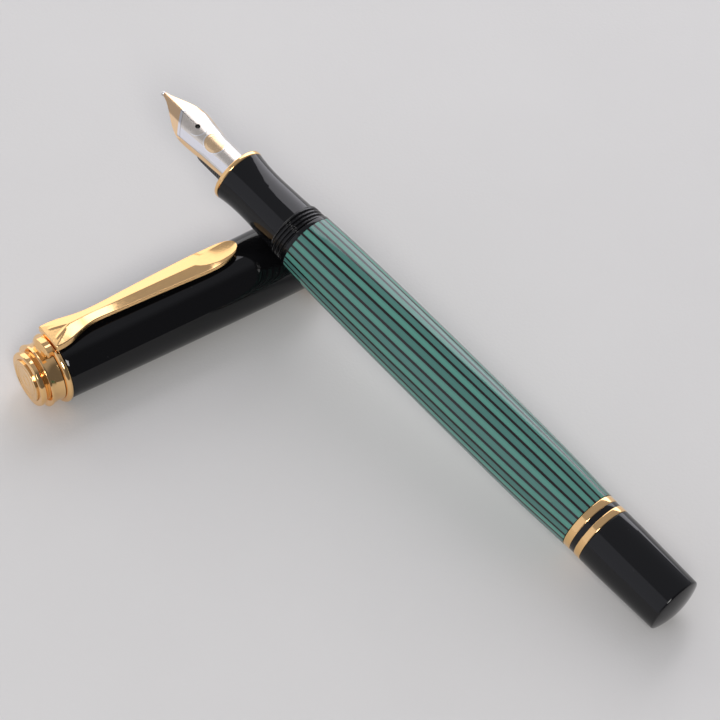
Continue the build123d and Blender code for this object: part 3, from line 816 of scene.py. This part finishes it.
def make_hoop():
    """The clip's hoop, with a hollowed waist."""
    corners = [(4.2, HOOP_START), (HOOP_R, HOOP_START, 0.10), (HOOP_R, WAIST_START, 0.06), (5.5, 2.6)]
    outline = [(SCREW_BORE, HOOP_END), (SCREW_BORE, HOOP_START)]
    outline += rounded(corners, 0, closed=False)[:-1]
    for i in range(1, WAIST_STEPS + 1):
        sunk = WAIST_DEPTH * math.sin(math.pi / 2 * i / WAIST_STEPS)
        outline.append((HOOP_R - sunk, WAIST_START + WAIST_LENGTH * i / WAIST_STEPS))
    for i in range(1, FLANK_STEPS + 1):
        rise = FLANK_RISE * (i / FLANK_STEPS) ** 2
        outline.append((FLANK_R + rise, FLANK_START + FLANK_LENGTH * i / FLANK_STEPS))
    outline.append((HOOP_FOOT_R, HOOP_END))
    return lathe("clip_hoop_gold", outline, CAP)


# the clip's tongue: its place, its radii, half its width where it starts and how much each side gains
LUG_START, LUG_LENGTH, LUG_ROWS, LUG_STEPS = 2.95, 1.9, 26, 16
LUG_R, LUG_RISE, LUG_UNDER = 5.45, 1.25, 5.1
LUG_HALF, LUG_GAIN = 1.1, 1.1


def make_lug():
    """The folded tongue on the hoop that the clip sits against."""
    rings = []
    for i in range(LUG_ROWS + 1):
        z = LUG_START + LUG_LENGTH * i / LUG_ROWS
        half = LUG_HALF + LUG_GAIN * math.sqrt(max(0, 1 - (1 - min(1, z - LUG_START)) ** 2))
        top = LUG_R + LUG_RISE * ease(2.9, 3.75, z)
        corners = []
        for s in range(LUG_STEPS + 1):
            x = -half + 2 * half * s / LUG_STEPS
            drop = 0.25 * abs(x / half) ** 4
            corners.append((x, math.sqrt(max(0, top ** 2 - x ** 2)) - drop, z))
        low = [(x, math.sqrt(LUG_UNDER ** 2 - x ** 2), z) for x, _, z in reversed(corners)]
        rings.append(corners + low)
    return skin("clip_tongue", rings, CAP)


def make_crown():
    """The cap's end: a raised step round the medallion and a groove before the clip's hoop."""
    corners = [(2.0, 0.85, 0.02), (3.78, 0.85, 0.02), (3.78, 0.34, 0.02), (4.72, 0.34, 0.16),
               (4.87, 0.62, 0.12), (4.87, 1.28, 0.10), (4.72, 1.45, 0.05), (4.34, 1.47, 0.04),
               (4.30, 1.95, 0.02), (2.0, 1.95, 0.02)]
    return lathe("stepped_crown", rounded(corners, 0), CAP)


def make_medallion():
    """The disc in the cap's end: a raised rim and two fine raised rings."""
    corners = [(0, 0.85), (3.74, 0.85), (3.74, 0.0, 0.12), (3.28, 0.0, 0.07), (3.20, 0.10, 0.05),
               (2.72, 0.12, 0.04), (2.66, 0.06, 0.03), (2.54, 0.06, 0.03), (2.48, 0.12, 0.04),
               (1.15, 0.14, 0.04), (1.08, 0.08, 0.04), (0.96, 0.08, 0.04), (0.89, 0.14, 0.04), (0, 0.14)]
    return lathe("crown_disc", rounded(corners, 0.03, closed=False), CAP, closed=False)


# along the clip: half its width, the heights of its edge, of its ridge and of its underside
CLIP_WIDTH = smooth_table([(5.05, 2.95), (6.5, 2.95), (8.0, 2.74), (9.6, 2.32), (11.2, 1.88), (12.8, 1.60),
                           (14.4, 1.56), (17.0, 1.68), (21.0, 1.90), (25.3, 2.12), (30.0, 2.36), (34.0, 2.53),
                           (36.5, 2.50), (38.2, 2.36), (39.4, 2.13), (40.4, 1.76), (41.1, 1.30), (41.5, 0.85),
                           (41.7, 0.35)])
CLIP_EDGE = smooth_table([(5.05, 7.42), (7.0, 7.48), (10.0, 7.68), (13.2, 7.88), (17.0, 7.83), (25.3, 7.80),
                          (34.0, 7.67), (36.5, 7.62), (38.4, 7.76), (39.8, 7.96), (41.0, 8.20), (41.7, 8.36)])
CLIP_RIDGE = smooth_table([(5.05, 8.10), (10.0, 8.17), (13.2, 8.22), (17.0, 8.12), (25.3, 8.00), (30.0, 7.90),
                           (33.0, 7.82), (35.0, 7.79), (37.0, 7.80), (38.4, 7.88), (39.8, 8.04), (41.0, 8.24),
                           (41.7, 8.38)])
CLIP_UNDER = smooth_table([(5.05, 6.32), (7.2, 6.40), (10.0, 6.78), (13.2, 7.15), (17.0, 7.20), (25.3, 7.22),
                           (33.5, 7.08), (37.0, 7.02), (39.4, 7.30), (41.0, 7.66), (41.7, 7.95)])
CLIP_START, CLIP_END = 5.05, 41.7
CLIP_ROWS, CLIP_ACROSS, CLIP_SHARP = 420, 72, math.radians(24)
CLIP_UNDER_STEPS = 8
# the clip's softened side edges and root end, its cut lower corners and its least thickness
SIDE_SOFT, SIDE_SOFT_WIDTH, ROOT_ROUND, ROOT_ROUND_LENGTH = 0.07, 0.14, 0.14, 0.18
CORNER_CUT, UNDER_FULL, LEAST_THICK = 0.1, 0.04, 0.12
LEAF_HOLLOW = 0.035
# how much steeper the slopes are at the leaf, the flat root's height and slope, the veins on the root
STEEPER = 0.28
ROOT_HEIGHT, ROOT_SLOPE = 7.44, 0.17
VEIN_RISE, VEIN_HALF = 0.07, 0.34


def clip_top(x, z, w):
    """The clip's upper face: two slopes to a ridge, a flat root and a dished leaf at its end."""
    edge, high = between(z, CLIP_EDGE), between(z, CLIP_RIDGE)
    share = abs(x / w)
    steep = STEEPER * ease(33.0, 37.5, z)
    roof = edge + (high - edge + steep) * (1 - math.sqrt(share ** 2 + 0.0015))
    root = ROOT_HEIGHT + ROOT_SLOPE * (z - CLIP_START)
    vein = abs(x) - 0.40 * (9.0 - z) - 0.1
    root += VEIN_RISE * max(0, 1 - (vein / VEIN_HALF) ** 2) ** 2 * ease(5.9, 6.7, z) * ease(9.0, 8.3, z)
    leaf = high - LEAF_HOLLOW * (1 - share ** 2) * ease(35.0, 38.0, z)
    return min(roof, root, leaf)


def clip_under(w, below, z):
    """The underside from the right side to the left: cut corners and a slightly full middle."""
    right = [(w, below + CORNER_CUT, z), (w - CORNER_CUT, below, z)]
    left = [(-w + CORNER_CUT, below, z), (-w, below + CORNER_CUT, z)]
    shares = [1 - 2 * s / CLIP_UNDER_STEPS for s in range(1, CLIP_UNDER_STEPS)]
    return right + [(w * share * 0.9, below - UNDER_FULL * (1 - share ** 2), z) for share in shares] + left


def make_clip():
    """Gold clip: wide flat root, slim waist, a fine ridge and a rounded leaf at its end."""
    rings = []
    for i in range(CLIP_ROWS + 1):
        z = CLIP_START + (CLIP_END - CLIP_START) * (1 - (1 - i / CLIP_ROWS) ** 1.15)
        w, below = between(z, CLIP_WIDTH), between(z, CLIP_UNDER)
        end_round = ROOT_ROUND * (1 - ease(CLIP_START, CLIP_START + ROOT_ROUND_LENGTH, z))
        top = []
        for s in range(CLIP_ACROSS + 1):
            x = w * math.sin(math.pi / 2 * (-1 + 2 * s / CLIP_ACROSS))
            soft = SIDE_SOFT * ease(w - SIDE_SOFT_WIDTH, w, abs(x))
            top.append((x, max(clip_top(x, z, w) - soft - end_round, below + LEAST_THICK), z))
        rings.append(top + clip_under(w, below, z))
    return skin("gold_clip", rings, CAP, sharp=CLIP_SHARP)


BUMP_R, BUMP_DEPTH, BUMP_HEIGHT, BUMP_AT = 0.9, 0.56, 7.10, 38.0
BUMP_RINGS, BUMP_SIDES = 12, 48


def make_clip_bump():
    """The rounded bump under the clip's end that touches the cloth."""
    rings = []
    for i in range(BUMP_RINGS + 1):
        angle = math.pi / 2 * i / BUMP_RINGS
        r = max(BUMP_R * math.cos(angle), 0.01)
        height = BUMP_HEIGHT - BUMP_DEPTH * math.sin(angle)
        rings.append([(x, height, BUMP_AT + y) for x, y in circle(r, BUMP_SIDES)])
    return skin("clip_bump", rings, CAP)


# ------------------------------------------------------------------ assembly
def dress(piece, body, material, slot, *nodes):
    """Gives a piece its material and body, and hides the CAD nodes it stands for; slot is not used."""
    piece.data.materials.clear()
    piece.data.materials.append(material)
    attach(piece, body)
    if nodes:
        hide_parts(*nodes)


def repaint(node, material):
    """Gives a CAD node that stays its material."""
    mesh = frame["nodes"][node].data
    mesh.materials.clear()
    mesh.materials.append(material)


def build():
    """Makes the visible pieces, nearly all in place of a CAD node, and paints the nodes that stay."""
    resin = black_resin()
    plate = gold("gold_plate", light=(0.98, 0.64, 0.31), deep=(0.95, 0.58, 0.24), rough=0.09)
    disc = gold("gold_disc", light=(0.92, 0.62, 0.31), deep=(0.84, 0.53, 0.24), rough=0.16)
    stripes = striped_celluloid()
    nib_finish = two_tone_nib()
    tipping = plain("nib_tipping", (0.80, 0.79, 0.78), rough=0.18, metallic=1.0)
    plastic = satin_black("black_plastic", tone=0.012)
    ebonite = satin_black("feed_ebonite", tone=0.008)
    rubber = satin_black("black_rubber", tone=0.02)
    brass = plain("brass_works", (0.80, 0.60, 0.32), rough=0.25, metallic=1.0)
    steel = plain("steel_stud", (0.55, 0.56, 0.58), rough=0.3, metallic=1.0)
    seal = plain("white_seal", (0.80, 0.80, 0.77), rough=0.4)
    window = plain("ink_window_resin", (0.05, 0.07, 0.05), rough=0.12)

    dress(make_section_ring(), "barrel", plate, "gold_plate", "section_ring")
    dress(make_grip(), "barrel", resin, "black_resin", "grip_section")
    dress(make_sleeve(), "barrel", stripes, "striped_celluloid", "striped_sleeve")
    dress(make_rear_band("front_gold_band", 104.0, 105.4), "barrel", plate, "gold_plate", "rear_band_front")
    dress(make_spacer(), "barrel", resin, "black_resin", "rear_band_spacer")
    dress(make_rear_band("back_gold_band", 106.4, 107.7), "barrel", plate, "gold_plate", "rear_band_back")
    dress(make_knob(), "knob", resin, "black_resin", "turning_knob")
    dress(make_nib(), "nib_unit", nib_finish, "two_tone_nib", "nib")
    dress(make_tipping(), "nib_unit", tipping, "nib_tipping", "nib_point")
    dress(make_feed(), "nib_unit", ebonite, "black_plastic", "feed")
    dress(make_cap_tube(), "cap", resin, "black_resin", "cap_tube")
    dress(make_lip_band("wide_lip_band", 53.1, 55.4), "cap", plate, "gold_plate", "lip_band_wide")
    dress(make_lip_band("thin_lip_band", 51.9, 52.5), "cap", plate, "gold_plate", "lip_band_thin")
    dress(make_bead(), "cap", plate, "gold_plate", "bead_ring")
    dress(make_hoop(), "cap", plate, "gold_plate", "clip_hoop")
    dress(make_lug(), "cap", plate, "gold_plate")
    dress(make_crown(), "cap", plate, "gold_plate", "crown")
    dress(make_medallion(), "cap", disc, "gold_disc", "crown_medallion")
    dress(make_clip(), "clip", plate, "gold_plate", "clip_arm")
    dress(make_clip_bump(), "clip", plate, "gold_plate")

    for node in ("nib_collar", "inner_cap"):
        repaint(node, plastic)
    for node in ("piston_housing", "knob_spindle", "piston_rod"):
        repaint(node, brass)
    repaint("spindle_o_ring", rubber)
    repaint("crown_screw", steel)
    repaint("piston_seal", seal)
    repaint("barrel_tube", window)


# ------------------------------------------------------------------ studio
# the point that the camera looks at (m), its direction and roll (degrees), distance (m), lens and film (mm)
AIM = Vector((0.013345, 0.005830, 0.00812))
AZIMUTH, ELEVATION, ROLL = -38.086, 52.709, -5.573
DISTANCE = 0.5624
LENS, FILM = 168.69, 36
NEAREST = 0.01
FLOOR_HALF = 1.5
EXPOSURE = -0.05
# the room's light: its tint, the strengths of its wall and ceiling, and the share of them in front
ROOM_TINT = (0.90, 0.91, 1.0)
WALL, CEILING, FRONT = 0.85, 0.42, 0.35
# the directions between which the room goes from wall to ceiling, and from its front to full strength
WALL_EDGE, FRONT_EDGE = (-0.58, -0.54), (-0.5, -0.1)


def view_axes(azimuth, elevation):
    """The direction a camera looks in, and its right-hand direction."""
    a, e = math.radians(azimuth), math.radians(elevation)
    look = Vector((-math.sin(a) * math.cos(e), math.cos(a) * math.cos(e), -math.sin(e)))
    return look, Vector((math.cos(a), math.sin(a), 0))


def add_camera():
    look, right = view_axes(AZIMUTH, ELEVATION)
    down = look.cross(right)
    roll = math.radians(ROLL)
    level = right
    right = level * math.cos(roll) + down * math.sin(roll)
    down = down * math.cos(roll) - level * math.sin(roll)
    data = bpy.data.cameras.new("camera")
    data.lens = LENS
    data.sensor_width = FILM
    data.clip_start = NEAREST
    camera = bpy.data.objects.new("camera", data)
    up, back = down * -1, look * -1
    rows = [[right[i], up[i], back[i], (AIM - look * DISTANCE)[i]] for i in range(3)]
    camera.matrix_world = Matrix(rows + [[0, 0, 0, 1]])
    bpy.context.scene.collection.objects.link(camera)
    bpy.context.scene.camera = camera


def add_floor():
    mesh = bpy.data.meshes.new("floor")
    corners = [(x * FLOOR_HALF, y * FLOOR_HALF, 0) for x, y in ((-1, -1), (1, -1), (1, 1), (-1, 1))]
    mesh.from_pydata(corners, [], [(0, 1, 2, 3)])
    mesh.materials.append(pale_floor())
    floor = bpy.data.objects.new("floor", mesh)
    bpy.context.scene.collection.objects.link(floor)


def add_softbox(name, place, size, radiance, tint, facing=None, along=(0, 0, 1)):
    """A rectangular area light, facing the pen unless told; along is the direction of its second side."""
    data = bpy.data.lights.new(name, "AREA")
    data.shape = "RECTANGLE"
    data.size, data.size_y = size
    data.energy = radiance * math.pi * size[0] * size[1]
    data.color = tint
    light = bpy.data.objects.new(name, data)
    back = (Vector(place) - AIM if facing is None else Vector(facing) * -1).normalized()
    x = Vector(along).cross(back).normalized()
    y = back.cross(x)
    light.matrix_world = Matrix([[x[i], y[i], back[i], place[i]] for i in range(3)] + [[0, 0, 0, 1]])
    bpy.context.scene.collection.objects.link(light)


def add_world():
    """A plain grey room: brighter on one side, darker in front."""
    world = bpy.data.worlds.new("studio")
    world.use_nodes = True
    tree = world.node_tree
    background = tree.nodes["Background"]
    background.inputs["Color"].default_value = (*ROOM_TINT, 1)
    direction = tree.nodes.new("ShaderNodeSeparateXYZ")
    tree.links.new(tree.nodes.new("ShaderNodeTexCoord").outputs["Generated"], direction.inputs[0])

    def share(axis, start, end, low, high):
        """A value from low to high as one coordinate of the direction goes from start to end."""
        node = tree.nodes.new("ShaderNodeMapRange")
        node.interpolation_type = "SMOOTHSTEP"
        limits = {"From Min": start, "From Max": end, "To Min": low, "To Max": high}
        for name, value in limits.items():
            node.inputs[name].default_value = value
        tree.links.new(direction.outputs[axis], node.inputs["Value"])
        return node.outputs["Result"]

    wall = share("X", *WALL_EDGE, WALL, CEILING)
    front = share("Y", *FRONT_EDGE, FRONT, 1.0)
    strength = tree.nodes.new("ShaderNodeMath")
    strength.operation = "MULTIPLY"
    tree.links.new(wall, strength.inputs[0])
    tree.links.new(front, strength.inputs[1])
    tree.links.new(strength.outputs[0], background.inputs["Strength"])
    bpy.context.scene.world = world


def studio():
    add_camera()
    add_floor()
    add_world()
    view = bpy.context.scene.view_settings
    view.view_transform = "Standard"
    view.exposure = EXPOSURE
    add_softbox("key", place=(-0.40, -0.66, 0.85), size=(0.36, 0.36), radiance=14.0, tint=(1.0, 0.98, 0.96))
    add_softbox("window", place=(0.5, 0.454, 0.60), size=(0.34, 2.6), radiance=2.6, tint=(0.96, 0.94, 1.0),
                facing=(-1, 0, 0), along=(0, 0.30, 0.954))
    add_softbox("far_card", place=(0.35, 1.0, 0.42), size=(1.7, 0.86), radiance=1.2, tint=(1.0, 0.99, 0.97),
                facing=(0, -1, 0))


build()
studio()
